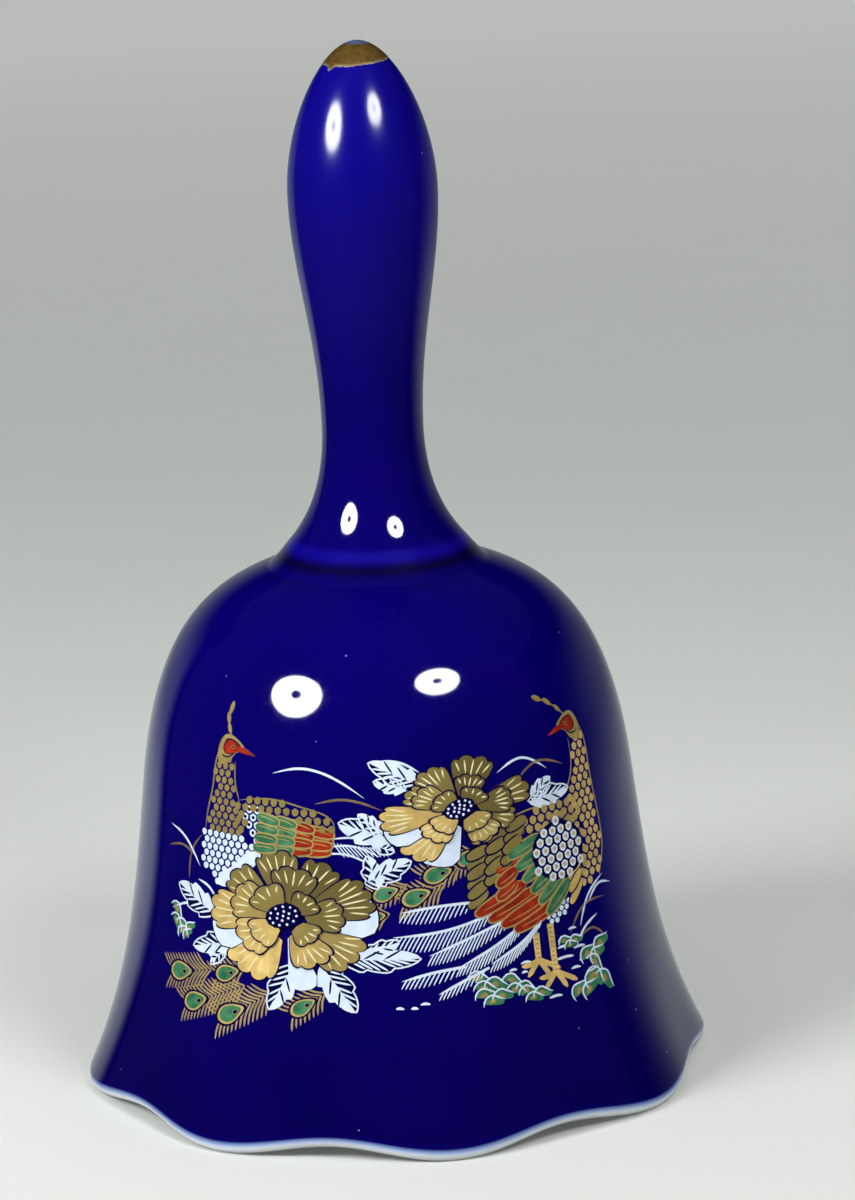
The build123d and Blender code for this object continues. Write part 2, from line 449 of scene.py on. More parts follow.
def handle_outline(foot, foot_pull, inset, top, tip_pull):
    """The handle's outline from a foot point to a top on the axis, a wall's inset inwards."""
    neck, grip = NECK_RADIUS - inset, GRIP_RADIUS - inset
    return joined(
        bezier(foot, foot_pull, (neck, NECK_HEIGHT - NECK_PULL_DOWN), (neck, NECK_HEIGHT)),
        bezier((neck, NECK_HEIGHT), (neck, NECK_HEIGHT + NECK_PULL_UP),
               (grip, GRIP_HEIGHT - GRIP_PULL_DOWN), (grip, GRIP_HEIGHT)),
        bezier((grip, GRIP_HEIGHT), (grip, GRIP_HEIGHT + GRIP_PULL_UP), (tip_pull, top), (0.0, top)),
    )


def handle_outside():
    """The handle's outline from the foot's top to the tip."""
    return handle_outline(FOOT_CURVE[-1], FOOT_PULL, 0.0, TIP_HEIGHT, TIP_PULL)


def make_handle():
    """The handle's skin: its rounded foot, outside, tip and hollow."""
    outside = joined(bezier(*FOOT_CURVE, 24), handle_outside())
    hollow = handle_outline(HOLLOW_FOOT, HOLLOW_FOOT_PULL, HANDLE_WALL, HOLLOW_TOP, HOLLOW_TIP_PULL)[::-2]
    outline = [(FOOT_CURVE[0][0], BURIED), *outside, *hollow, (HOLLOW_FOOT[0], BURIED)]
    handle = turned_mesh("handle_skin", outline)
    heights = np.array([v.co.z / MM for v in handle.data.vertices])
    on_foot = 0.4 * band(heights, 70.1, 0.8)
    towards_tip = 0.3 * np.clip((heights - 90) / 30, 0, 1)
    paint(handle, "thin", np.maximum(on_foot, towards_tip))
    # Painted shade in the crease at the handle's foot, where glaze also pools.
    paint(handle, "shade_and_pooling", 0.9 * band(heights, 68.7, 0.7))
    paint(handle, "soft", np.clip(np.maximum((heights - 88) / 12, (71.2 - heights) / 0.6), 0, 1))
    for name in ("pale", "bare"):
        paint(handle, name, 0.0 * heights)
    return handle


def make_gilding():
    """The gilded tip: a thin shell with a slanting, slightly ragged lower edge, pale blue at the top."""
    chance = random.Random(3)
    waves = [(count, chance.uniform(0, 2 * math.pi), chance.uniform(0.01, 0.03)) for count in (5, 9, 17, 31)]
    outer = handle_outside()[::-1]
    tip = outer[outer[:, 1] > GRIP_HEIGHT + 3]
    verts, rings = [], 28
    for lift in (GILT_LIFT, -GILT_LIFT):
        verts.append((0.0, 0.0, TIP_HEIGHT + lift))
        for ring in range(1, rings + 1):
            for i in range(SEGMENTS):
                angle = 2 * math.pi * i / SEGMENTS
                edge = GILT_EDGE - GILT_SLANT * math.cos(angle - math.radians(215))
                edge += sum(size * math.sin(count * angle + phase) for count, phase, size in waves)
                edge -= 0.55 * band(angle, math.radians(222), 0.09)
                widest = float(np.interp(-edge, -outer[:, 1], outer[:, 0]))
                radius = widest * ring / rings
                height = float(np.interp(radius, tip[:, 0], tip[:, 1]))
                grown = radius + lift * radius / 6.0
                verts.append((grown * math.cos(angle), grown * math.sin(angle), height + lift))
    faces = []
    shell = 1 + rings * SEGMENTS
    for ring in range(rings):
        for i in range(SEGMENTS):
            j = (i + 1) % SEGMENTS
            below = (1 + ring * SEGMENTS + i, 1 + ring * SEGMENTS + j)
            above = (0,) if ring == 0 else (below[1] - SEGMENTS, below[0] - SEGMENTS)
            face = (*below, *above)
            faces.append(face)
            faces.append(tuple(shell + k for k in reversed(face)))
    for i in range(SEGMENTS):
        a, b = shell - SEGMENTS + i, shell - SEGMENTS + (i + 1) % SEGMENTS
        faces.append((b, a, shell + a, shell + b))
    gilding = new_object("gilded_tip", verts, faces)
    radii = [math.hypot(v[0], v[1]) for v in verts]
    # Pale blue at the apex, within about 1.9 mm of the axis.
    paint(gilding, "pale_apex", np.clip((1.9 - np.array(radii)) / 0.8, 0, 1))
    by_ring = np.repeat([max(0.0, 1 - (rings - ring) / 1.5) for ring in range(1, rings + 1)], SEGMENTS)
    paint(gilding, "edge", [0.0, *by_ring] * 2)
    return gilding


# ---------------------------------------------------------------- painted decoration

class Ink:
    """All the ink of one colour: thin closed slabs on the bell, each at its own level."""

    def __init__(self):
        self.verts = []
        self.faces = []
        self.tone_and_light_values = []
        self.slabs = 0


INKS = {name: Ink() for name in INK_MATERIALS}


def on_bell(points, lift):
    """Places on the bell's skin for places in the painting, raised by a lift."""
    points = np.asarray(points, float)
    heights, radii, slopes = SKIN_PROFILE
    radius = np.interp(points[:, 1], heights, radii)
    slope = np.interp(points[:, 1], heights, slopes)
    angle = points[:, 0] / PAINT_RADIUS - math.pi / 2
    share = 1 / np.hypot(1.0, slope)
    normal = np.stack([np.cos(angle) * share, np.sin(angle) * share, -slope * share], axis=-1)
    return lobed(radius, points[:, 1], angle) + normal * lift


def lay(colour, points, triangles, level, tone_and_light):
    """Adds a slab of ink: its top at a level, its underside just inside the glaze, and its edge."""
    ink = INKS[colour]
    start, count = len(ink.verts), len(points)
    ink.slabs += 1
    ink.verts.extend(on_bell(points, INK_BASE + INK_LEVEL * level + INK_STEP * (ink.slabs % INK_STEPS)))
    ink.verts.extend(on_bell(points, -INK_BASE))
    ink.tone_and_light_values.extend([tone_and_light] * (2 * count))
    sides = set()
    for a, b, c in triangles:
        ink.faces.append((start + a, start + b, start + c))
        ink.faces.append((start + count + c, start + count + b, start + count + a))
        sides.update(((a, b), (b, c), (c, a)))
    for a, b in sorted(sides):
        if (b, a) not in sides:
            ink.faces.append((start + b, start + a, start + count + a, start + count + b))


def inside(points, outline):
    """Which points lie inside a closed outline."""
    x, y = points[:, 0, None], points[:, 1, None]
    x0, y0 = outline[:, 0], outline[:, 1]
    x1, y1 = np.roll(x0, -1), np.roll(y0, -1)
    crosses = (y0 > y) != (y1 > y)
    where = x0 + (y - y0) * (x1 - x0) / np.where(y1 == y0, 1e-9, y1 - y0)
    return (crosses & (x < where)).sum(axis=1) % 2 == 1


def patch(colour, outline, level, tone_and_light=0.0):
    """Fills a closed outline with ink."""
    corners = np.array(outline, float)
    edge = []
    for a, b in zip(corners, np.roll(corners, -1, axis=0)):
        parts = max(1, math.ceil(np.linalg.norm(b - a) / INK_SPACING))
        edge += [a + (b - a) * i / parts for i in range(parts)]
    edge = np.array(edge)
    low, high = edge.min(axis=0) + 0.3, edge.max(axis=0) - 0.2
    grid = np.array([(x, y) for x in np.arange(low[0], high[0], INK_SPACING)
                     for y in np.arange(low[1], high[1], INK_SPACING)])
    points = [Vector(p) for p in edge]
    if len(grid):
        far = np.linalg.norm(grid[:, None] - edge, axis=2).min(axis=1) > 0.3
        points += [Vector(p) for p in grid[far & inside(grid, edge)]]
    edges = [(i, (i + 1) % len(edge)) for i in range(len(edge))]
    verts, _, faces, *_ = delaunay_2d_cdt(points, edges, [], 1, 1e-5)
    verts = np.array([tuple(v) for v in verts])
    lay(colour, verts, [tuple(face) for face in faces], level, tone_and_light)


def stroke(colour, points, width, level, ends=(0.2, 0.2), tone_and_light=0.0):
    """A line of ink along a smooth curve. Its ends narrow to these shares of its width."""
    points = np.array(points, float)
    length = np.linalg.norm(np.diff(points, axis=0), axis=1).sum()
    path = smooth_curve(points, max(4, math.ceil(length / 0.6) + 1))
    along = np.gradient(path, axis=0)
    along /= np.linalg.norm(along, axis=1)[:, None]
    across = np.stack([-along[:, 1], along[:, 0]], axis=1)
    place = np.linspace(0, 1, len(path))
    narrow = np.minimum(1, np.minimum(ends[0] + place * 4, ends[1] + (1 - place) * 4))
    half = across * (width / 2 * narrow)[:, None]
    count = len(path)
    triangles = []
    for i in range(count - 1):
        left, right = i, count + i
        triangles += [(left, right, right + 1), (left, right + 1, left + 1)]
    lay(colour, np.vstack([path + half, path - half]), triangles, level, tone_and_light)


def moved(shape, place, turn, size=(1.0, 1.0)):
    """A shape scaled, turned by degrees and moved to its place."""
    shape = np.array(shape, float) * size
    c, s = math.cos(math.radians(turn)), math.sin(math.radians(turn))
    return shape @ np.array([[c, s], [-s, c]]) + np.array(place, float)


def oval(place, radii, turn=0.0, count=14):
    """The outline of an ellipse."""
    turns = 2 * math.pi * np.arange(count) / count
    return moved(np.stack([np.cos(turns), np.sin(turns)], axis=1), place, turn, radii)


def rounded(points):
    """A closed smooth outline through the given points, with five steps from each to the next."""
    points = np.array(points, float)
    before, after, far = np.roll(points, 1, axis=0), np.roll(points, -1, axis=0), np.roll(points, -2, axis=0)
    out = []
    for p0, p1, p2, p3 in zip(before, points, after, far):
        for t in np.arange(5) / 5:
            out.append(0.5 * (2 * p1 + (p2 - p0) * t + (2 * p0 - 5 * p1 + 4 * p2 - p3) * t**2
                              + (3 * p1 - p0 - 3 * p2 + p3) * t**3))
    return np.array(out)


def petal(flower, span, bearing, half, ruffles, colour, level, tone_and_light=0.0, grow=0.0):
    """One petal of a flower, over a span of its radius, with a ruffled edge."""
    place, radii = flower
    mean = (radii[0] + radii[1]) / 2
    inner, outer = max(0.02, span[0] - grow / mean), span[1] + grow / mean
    half += math.degrees(grow / mean / ((inner + outer) / 2))
    shares = np.linspace(-1, 1, 8 * ruffles + 1)
    wave = np.abs(np.sin(ruffles * math.pi * (shares + 1) / 2)) ** 0.7
    reach = inner + (outer - inner) * (1 - np.abs(shares) ** 4.5) ** 0.6 * (0.89 + 0.11 * wave)
    turns = np.radians(bearing + half * shares * (0.6 + 0.4 * reach / outer))
    edge = np.stack([reach * np.cos(turns), reach * np.sin(turns)], axis=1)
    root = np.array([math.cos(math.radians(bearing)), math.sin(math.radians(bearing))]) * 0.8 * inner
    patch(colour, moved([*edge, root], place, 0.0, radii), level, tone_and_light)


def folds(flower, span, bearing, half, count, level):
    """Pale lines that fan out and curve over a petal."""
    place, radii = flower
    inner, outer = span
    for share in np.linspace(-0.7, 0.7, count):
        line = []
        for along in (0.42 + 0.2 * abs(share), 0.66, 0.9 - 0.12 * share**2):
            reach = inner + (outer - inner) * along
            turn = math.radians(bearing + half * share * (0.35 + 0.6 * along))
            line.append((reach * math.cos(turn), reach * math.sin(turn)))
        stroke("pale_gold", moved(line, place, 0.0, radii), 0.2, level)


def layered(petals):
    """The layer of each petal, above every earlier petal that it overlaps."""
    layers = []
    for i, (bearing, inner, _, half, *_) in enumerate(petals):
        under = -1
        for layer, (other, other_inner, _, other_half, *_) in zip(layers, petals[:i]):
            apart = abs((bearing - other + 180) % 360 - 180)
            if inner < other_inner or apart < half + other_half + 12:
                under = max(under, layer)
        layers.append(under + 1)
    return layers


def peony(place, radii, white_petals, outer_petals, level, chance):
    """A peony: a few white petals under overlapping ruffled gold ones, and its heart. White
    petals are given as bearings, and an outer petal as its bearing, reach, half-width, count
    of ruffles and how far its white underside is turned."""
    flower = (place, radii)
    for bearing in white_petals:
        petal(flower, (0.3, 1.06), bearing, 15, 1, "white", level - 3)
    petals = [(bearing, 0.34, *rest) for bearing, *rest in outer_petals]
    for count, first, inner, reach, half, ruffles in ((5, 80, 0.27, 0.73, 36, 4), (4, 45, 0.2, 0.5, 46, 3)):
        for i in range(count):
            bearing = first + 360 * i / count + chance.uniform(-9, 9)
            length = reach * chance.uniform(0.86, 1.06)
            petals.append((bearing, inner, length, half * chance.uniform(0.8, 1.0), ruffles, 0))
    layers = layered(petals)
    for (bearing, inner, reach, half, ruffles, turn), layer in zip(petals, layers):
        base = level + 6 * layer
        # Painted light and shade: gold petals facing SUNNY_SIDE are painted brighter and those facing away
        # darker, with a little random variation.
        tone_and_light = 0.85 * math.cos(math.radians(bearing - SUNNY_SIDE)) + chance.uniform(-0.1, 0.2)
        if turn:
            petal(flower, (inner, reach), bearing + turn, half, 1, "navy", base - 1.8, grow=0.15)
            petal(flower, (inner, reach), bearing + turn, half, 1, "white", base - 0.6)
        petal(flower, (inner, reach), bearing, half, ruffles, "navy", base + 0.6, grow=0.2)
        petal(flower, (inner, reach), bearing, half, ruffles, "gold", base + 1.8, tone_and_light)
        folds(flower, (inner, reach), bearing, half, ruffles + 1, base + 3)
    heart = moved([(-0.04, 0.03)], place, 0.0, radii)[0]
    top = level + 6 * max(layers) + 5
    patch("navy", oval(heart, np.array(radii) * (0.22, 0.18), 15), top)
    for ring, count in ((0.0, 1), (0.08, 6), (0.165, 11)):
        for i in range(count):
            turn = 2 * math.pi * (i + ring * 3) / count
            spot = moved([(ring * math.cos(turn), 0.8 * ring * math.sin(turn))], heart, 15, radii)[0]
            patch("white", oval(spot, (0.17, 0.17), count=7), top + 1.2)


def leaf(base, tip, width, level, striped):
    """A toothed leaf. One side of its midrib is solid, and the other, +1 or -1, is striped."""
    base, tip = np.array(base, float), np.array(tip, float)
    length = np.linalg.norm(tip - base)
    turn = math.degrees(math.atan2(tip[1] - base[1], tip[0] - base[0]))
    along = np.linspace(0, 1, 22)
    side = np.sin(math.pi * along**0.85) ** 0.7 * (0.7 + 0.3 * ((along * 3) % 1.0)) * width * 0.6
    solid = np.stack([along * length, -striped * side], axis=1)
    patch("white", moved([*solid, (0.5 * length, 0.1 * striped)], base, turn), level + 1)
    rim = np.stack([along * length, striped * side], axis=1)
    patch("navy", moved([*rim, (0.5 * length, 0.0)], base, turn), level)
    stroke("white", moved(rim, base, turn), 0.2, level + 2, ends=(1.0, 1.0))
    for share in np.arange(0.1, 0.8, 0.9 / length):
        reach = min(1.0, share + 0.22)
        hem = striped * 0.85 * float(np.interp(reach, along, side))
        vein = [(share * length, 0.0), (reach * length, hem)]
        stroke("white", moved(vein, base, turn), 0.25, level + 2, ends=(0.8, 0.3))
    for share in (0.3, 0.55):
        line = [(share * length, 0.0), ((share + 0.2) * length, -striped * width * 0.34)]
        stroke("navy", moved(line, base, turn), 0.24, level + 2, ends=(0.3, 0.6))


def eye_feather(place, turn, size, spine, level):
    """A tail feather's eye, its barbs running back along a spine."""
    for share in np.arange(0.0, 1.0, 0.62 / spine):
        for way in (-1, 1):
            root = -spine * share + 0.9 * size
            reach = size * 2.2
            barb = [(root + x * reach, way * y * reach) for x, y in ((0.0, 0.0), (0.45, 0.36), (0.75, 0.8))]
            stroke("gold", moved(barb, place, turn), 0.23, level + (way + 1) / 2, ends=(0.8, 0.3), tone_and_light=0.35)
    drop = [(1.35, 0.0), (1.0, 0.55), (0.2, 0.78), (-0.8, 0.5), (-1.5, 0.05), (-0.8, -0.5), (0.2, -0.78),
            (1.0, -0.55)]
    for colour, grow, at in (("navy", 1.2, 1.5), ("gold", 1.0, 2.5), ("green", 0.8, 3.5)):
        outline = moved(drop, place, turn, (size * 1.12 * grow, size * 1.2 * grow))
        patch(colour, rounded(outline), level + at, 0.5)
    dot = moved([(-0.62, 0.1)], place, turn, (size, size))[0]
    patch("gold", oval(dot, (0.36 * size, 0.26 * size), turn), level + 4.5)
    patch("navy", oval(dot, (0.26 * size, 0.18 * size), turn), level + 5.5)


def plume(points, barbs, level):
    """A white tail feather: a long tapered quill with slanting barbs below it."""
    points = np.array(points, float)
    length = np.linalg.norm(np.diff(points, axis=0), axis=1).sum()
    stroke("white", points, 0.34, level + 1, ends=(1.0, 0.15))
    path = smooth_curve(points, max(3, int(length / 0.52)))
    for share, (x, y) in zip(np.linspace(0, 1, len(path))[1:-1], path[1:-1]):
        reach = barbs * (0.55 + 0.45 * math.sin(math.pi * share))
        stroke("white", [(x, y), (x - 0.35 * reach, y - 0.55 * reach), (x - 0.6 * reach, y - reach)],
               0.16, level, ends=(0.9, 0.5))


def scales(colour, outline, size, level, tone_and_light=0.0, heart=None):
    """Rows of small scalloped scales that fill an outline."""
    outline = rounded(outline)
    cup = np.array([(-0.43, 0.2), (-0.4, -0.2), (-0.2, -0.42), (0.0, -0.47), (0.2, -0.42), (0.4, -0.2),
                    (0.43, 0.2), (0.22, 0.33), (0.0, 0.46), (-0.22, 0.33)])
    low, high = outline.min(axis=0), outline.max(axis=0)
    rows = math.ceil((high[1] - low[1]) / (0.8 * size))
    for row in range(rows):
        y = low[1] + (row + 0.5) * 0.8 * size
        shift = 0.5 * size * (row % 2)
        spots = np.array([(x + shift, y) for x in np.arange(low[0] - size, high[0] + size, size)])
        for spot in spots[inside(spots, outline)]:
            patch(colour, moved(cup, spot, 0.0, (0.88 * size, 0.9 * size)), level, tone_and_light)
            if heart:
                patch(heart, oval(spot, (0.2 * size, 0.2 * size), count=7), level + 1, tone_and_light)


def feathers(colour, first, last, count, size, turns, level, rim="gold", tone_and_light=0.3):
    """Rounded wing feathers with rims and a fine quill, side by side from the last to the first
    of their roots, each over the one before. The size is their length and width."""
    shape = [(0.0, 0.0), (0.15, 0.42), (0.6, 0.5), (0.92, 0.34), (1.0, 0.0), (0.92, -0.34), (0.6, -0.5),
             (0.15, -0.42)]
    for i, share in enumerate(np.linspace(1, 0, count)):
        root = np.array(first) + (np.array(last) - np.array(first)) * share
        turn = turns[0] + (turns[1] - turns[0]) * share
        base = level + 2 * (i % 2)
        patch(rim, rounded(moved(shape, root, turn, size)), base, tone_and_light)
        patch(colour, rounded(moved(shape, root, turn, (size[0] - 0.22, size[1] - 0.44))), base + 1, tone_and_light)
        quill = [(0.1, 0.1), (0.5, 0.12), (0.85, 0.0)]
        stroke("gold", moved(quill, root, turn, size), 0.13, base + 1.7, tone_and_light=tone_and_light)


def rock(place, size, turn, level):
    """A mossy rock: three flat green lumps, each with a gold flank under a white contour."""
    for x, y, share in ((-0.8, 0.1, 0.8), (0.8, 0.0, 0.85), (0.0, -0.5, 0.8)):
        spot = moved([(x, y)], place, turn, (size, size))[0]
        scale = (size * share * 1.1, size * share * 0.72)
        lump = [(-0.9, -0.5), (-0.9, 0.1), (-0.3, 0.75), (0.3, 0.4), (0.9, 0.2), (0.7, -0.5)]
        patch("green", rounded(moved(lump, spot, turn, scale)), level)
        flank = [(-0.6, -0.4), (-0.5, 0.1), (-0.1, 0.35), (0.1, -0.2)]
        patch("gold", rounded(moved(flank, spot, turn, scale)), level + 1, 0.2)
        contour = [(-1.1, -0.9), (-1.05, 0.1), (-0.35, 0.95), (0.35, 0.6), (1.05, 0.3)]
        stroke("white", moved(contour, spot, turn, scale), 0.22, level + 2, ends=(0.3, 0.2))


def bird_head(place, way, crest, level):
    """A bird's head: gold crown and cheek, red face, red beak and a crest of three drops. It
    faces right where way is 1 and left where it is -1. The crest's drops are given unturned."""
    facing = (1.2 * way, 1.2)
    skull = [(-1.5, -1.5), (-1.8, 0.2), (-1.0, 1.4), (0.4, 1.3), (1.9, 0.35), (0.7, -0.35), (-0.1, -1.3)]
    patch("gold", rounded(moved(skull, place, 0.0, facing)), level, 0.2)
    face = [(-1.0, 0.1), (-0.6, 0.9), (0.5, 0.8), (1.3, 0.25), (0.3, -0.35), (-0.6, -0.4)]
    patch("navy", rounded(moved(face, place, 0.0, (1.36 * way, 1.4))), level + 0.5)
    patch("red", rounded(moved(face, place, 0.0, facing)), level + 1)
    beak = [(1.2, 0.5), (2.2, 0.3), (3.5, -0.3), (2.3, -0.25), (1.2, -0.1)]
    patch("red", moved(beak, place, 0.0, facing), level + 1.5)
    eye = moved([(0.3, 0.3)], place, 0.0, facing)[0]
    patch("gold", oval(eye, (0.3, 0.24)), level + 2)
    patch("navy", oval(eye, (0.17, 0.15)), level + 2.5)
    stroke("navy", moved([(-1.3, -0.6), (-0.5, -0.8), (0.6, -0.3)], place, 0.0, facing), 0.18, level + 2)
    before = np.array(place, float) + (0, 1.3)
    for x, y, size in crest:
        tip = np.array(place, float) + (x, y)
        turn = math.degrees(math.atan2(tip[1] - before[1], tip[0] - before[0]))
        patch("gold", oval(tip, (size * 1.7, size * 0.8), turn), level + 1, 0.1)
        stroke("gold", [before, tip], 0.2, level)
        before = tip


def paint_left_bird(level):
    """The left bird, facing right behind the large flower."""
    bird_head((-22.2, 49.2), 1, ((-0.7, 2.5, 0.38), (-1.2, 3.7, 0.42), (-1.0, 4.9, 0.46)), level + 2)
    neck = [(-24.3, 48.3), (-24.4, 44.5), (-25.0, 41.5), (-25.4, 39.5), (-22.5, 38.9), (-19.8, 39.2),
            (-20.4, 42.8), (-21.4, 45.5), (-21.6, 48.0)]
    scales("gold", neck, 1.1, level, tone_and_light=0.1)
    stroke("gold", [(-23.6, 50.2), (-24.5, 48.0), (-24.7, 44.5), (-25.3, 41.5), (-25.6, 39.0)], 0.24, level)
    stroke("gold", [(-21.2, 47.9), (-20.9, 45.3), (-20.0, 43.0)], 0.2, level)
    back = [
        (-20.2, 43.0), (-15.0, 43.7), (-10.5, 43.0), (-6.0, 40.7), (-7.4, 40.0), (-11.0, 41.3),
        (-15.0, 42.3), (-18.5, 41.6), (-18.8, 39.8), (-20.6, 39.4),
    ]
    scales("gold", back, 1.2, level + 13)
    stroke("gold", [(-20.0, 43.3), (-15.0, 43.9), (-10.5, 43.1), (-6.7, 41.2), (-6.7, 39.6)], 0.2, level)
    breast = [
        (-26.1, 38.3), (-26.2, 36.0), (-25.0, 33.9), (-22.6, 32.3), (-20.6, 32.6), (-18.2, 35.0),
        (-16.6, 36.8), (-19.2, 38.6), (-21.5, 39.3), (-24.0, 39.0),
    ]
    scales("white", breast, 1.05, level)
    down = [(-22.9, 32.2), (-20.6, 32.5), (-17.6, 35.2), (-16.6, 36.9), (-18.6, 36.9), (-20.8, 34.9),
            (-22.8, 33.6)]
    patch("white", rounded(down), level + 1)
    scales("white", [(-19.6, 42.2), (-16.5, 42.4), (-16.0, 39.0), (-18.2, 38.2)], 1.2, level, heart="navy")
    for colour, x, tall, size, at in (("red", -10.4, 40.6, 3.9, 1), ("red", -12.9, 41.2, 3.9, 5),
                                      ("green", -14.8, 41.5, 3.4, 9), ("green", -17.2, 41.7, 3.4, 13)):
        feathers(colour, (x, tall), (x - 0.5, 37.7), 4, (size, 1.5), (-12, 2), level + at)
    for x, z in ((-7.2, 39.4), (-7.6, 38.4), (-8.6, 37.4)):
        stroke("white", [(x, z), (x + 3.0, z + 0.2), (x + 6.5, z - 1.2)], 0.24, level)
    for step in range(13):
        x = -6.8 + 0.45 * step
        barb = [(x, 39.0 - 0.06 * step), (x + 0.5, 38.2), (x + 1.4, 37.2)]
        stroke("white", barb, 0.14, level, ends=(0.8, 0.4))


def paint_right_bird(level):
    """The right bird, facing left, with its plumes and legs."""
    bird_head((28.2, 49.4), -1, ((-1.3, 2.5, 0.38), (-2.9, 3.6, 0.42), (-4.6, 4.3, 0.46)), level + 2)
    neck = [(30.2, 49.3), (30.5, 44.0), (30.9, 38.0), (30.9, 33.0), (29.2, 30.0), (25.8, 29.6), (27.4, 33.5),
            (27.2, 38.5), (25.4, 40.6), (26.6, 42.8), (27.7, 45.5), (28.0, 48.0)]
    scales("gold", neck, 1.25, level, tone_and_light=0.7)
    nape = [(29.2, 50.6), (30.5, 49.0), (30.8, 44.0), (31.3, 38.0), (31.2, 33.0), (29.8, 30.0)]
    stroke("gold", nape, 0.22, level, tone_and_light=0.3)
    throat = [(27.6, 48.0), (27.4, 45.5), (26.4, 43.0), (24.8, 41.6), (20.0, 40.9), (15.0, 39.8),
              (11.2, 37.4)]
    stroke("gold", throat, 0.2, level, tone_and_light=0.2)
    back = [(13.6, 38.9), (17.0, 40.0), (21.0, 40.6), (24.6, 41.2), (27.4, 41.2), (27.4, 38.0), (24.6, 38.4),
            (21.0, 38.2), (18.6, 38.0), (15.6, 38.4)]
    scales("gold", back, 1.3, level + 7, tone_and_light=0.4)
    chest = [(26.2, 38.8), (27.6, 36.5), (27.6, 32.5), (25.6, 29.8), (21.5, 30.2), (19.5, 32.5), (18.6, 35.5),
             (20.0, 38.2), (23.0, 39.2)]
    patch("navy", oval((23.0, 34.9), (4.35, 3.75)), level + 15)
    scales("white", oval((23.0, 34.9), (4.3, 3.7)), 1.42, level + 16, tone_and_light=0.6, heart="gold")
    scales("gold", chest, 1.25, level, tone_and_light=0.5)
    olive = (((12.8, 37.2), (12.2, 31.8), 6, 1), ((15.6, 39.0), (14.6, 34.4), 5, 5),
             ((18.4, 40.0), (17.0, 36.6), 4, 9))
    for first, last, count, at in olive:
        feathers("gold", first, last, count, (3.4, 1.7), (200, 215), level + at, "navy", -0.1)
    feathers("red", (17.6, 32.0), (22.6, 28.8), 4, (8.0, 2.0), (203, 200), level + 1)
    feathers("red", (16.6, 35.4), (16.2, 32.4), 3, (3.6, 1.8), (208, 214), level + 7)
    feathers("green", (20.4, 37.3), (24.2, 30.9), 6, (5.6, 1.8), (200, 222), level + 9)
    feathers("gold", (26.6, 33.0), (26.2, 30.2), 3, (3.6, 1.5), (222, 228), level + 1, "navy", 0.8)
    quills = (((10.4, 30.6), (6.0, 30.6), (1.2, 30.1)), ((12.6, 28.9), (7.0, 27.6), (0.2, 27.1)),
              ((15.2, 28.0), (10.5, 26.6), (4.4, 24.6)), ((18.0, 27.8), (13.5, 25.2), (8.0, 22.9)),
              ((19.8, 27.4), (16.6, 24.8), (11.8, 22.6)), ((8.6, 22.8), (4.8, 22.5), (1.0, 21.6)),
              ((11.5, 22.2), (8.6, 21.2), (5.2, 19.8)))
    for quill, barbs in zip(quills, (2.0, 2.3, 2.3, 2.2, 2.0, 1.7, 1.5)):
        plume(quill, barbs, level)
    thigh = [(20.0, 28.0), (23.0, 28.7), (25.6, 28.8), (23.6, 27.4), (21.6, 26.0), (20.2, 26.2)]
    scales("white", thigh, 0.85, level)
    for x, top, foot in ((18.1, 25.2, 21.4), (20.3, 26.0, 19.4)):
        patch("gold", [(x - 0.45, top), (x + 0.47, top), (x + 0.38, foot), (x - 0.4, foot)], level, 1.0)
        for rung in np.arange(foot + 0.6, top, 0.6):
            stroke("brown", [(x - 0.35, rung + 0.1), (x + 0.35, rung)], 0.1, level + 1)
        for way, drop in ((-2.4, 0.0), (-1.7, -1.5), (1.3, -1.9), (2.9, -1.3)):
            toe = [(x, foot + 0.4), (x + way * 0.5, foot + drop * 0.35), (x + way, foot + drop)]
            stroke("gold", toe, 0.66, level, ends=(1.0, 0.35), tone_and_light=1.0)


def paint_leaves(level):
    """The white leaves round both flowers, as base, tip and width."""
    leaves = (
        ((-23.4, 28.4), (-30.4, 31.0), 3.4), ((-19.6, 25.6), (-26.8, 23.6), 3.0),
        ((-21.5, 24.4), (-23.6, 22.0), 1.6), ((-12.0, 23.4), (-14.8, 17.6), 3.4),
        ((-8.6, 23.6), (-4.4, 17.6), 3.6), ((-6.4, 24.4), (3.4, 24.4), 3.2),
        ((-3.6, 24.8), (1.0, 26.6), 2.0), ((-2.6, 34.2), (2.8, 36.6), 2.8),
        ((-1.4, 33.2), (-2.6, 37.4), 2.6), ((0.6, 39.4), (-6.2, 41.4), 3.4),
        ((-0.6, 40.0), (-3.6, 42.6), 2.0), ((-1.4, 38.6), (0.8, 37.8), 1.6),
        ((4.8, 45.6), (-2.2, 48.8), 2.8), ((2.6, 45.4), (-1.6, 46.4), 2.0),
        ((19.0, 41.8), (26.0, 42.2), 2.6), ((19.4, 42.2), (23.0, 44.2), 2.0),
    )
    for i, (base, tip, width) in enumerate(leaves):
        leaf(base, tip, width, level, striped=1 - 2 * (i % 2))


def paint_tail_eyes(level):
    """The eyed tail feathers: a fan low on the left and another between the flowers."""
    eyes = (
        ((-28.9, 19.8), 195, 1.3, 7.0), ((-21.0, 21.4), 200, 1.1, 4.0), ((-25.7, 16.8), 205, 1.25, 9.5),
        ((-20.0, 16.6), 210, 1.25, 7.5), ((-10.8, 18.1), 215, 1.05, 4.5), ((-0.6, 32.6), 200, 1.0, 4.0),
        ((-2.3, 29.7), 190, 1.0, 3.5), ((3.1, 32.0), 200, 1.15, 5.0), ((5.9, 34.6), 195, 1.15, 4.5),
        ((10.1, 36.2), 200, 1.05, 3.0),
    )
    for place, turn, size, spine in eyes:
        eye_feather(place, turn, size, spine, level)


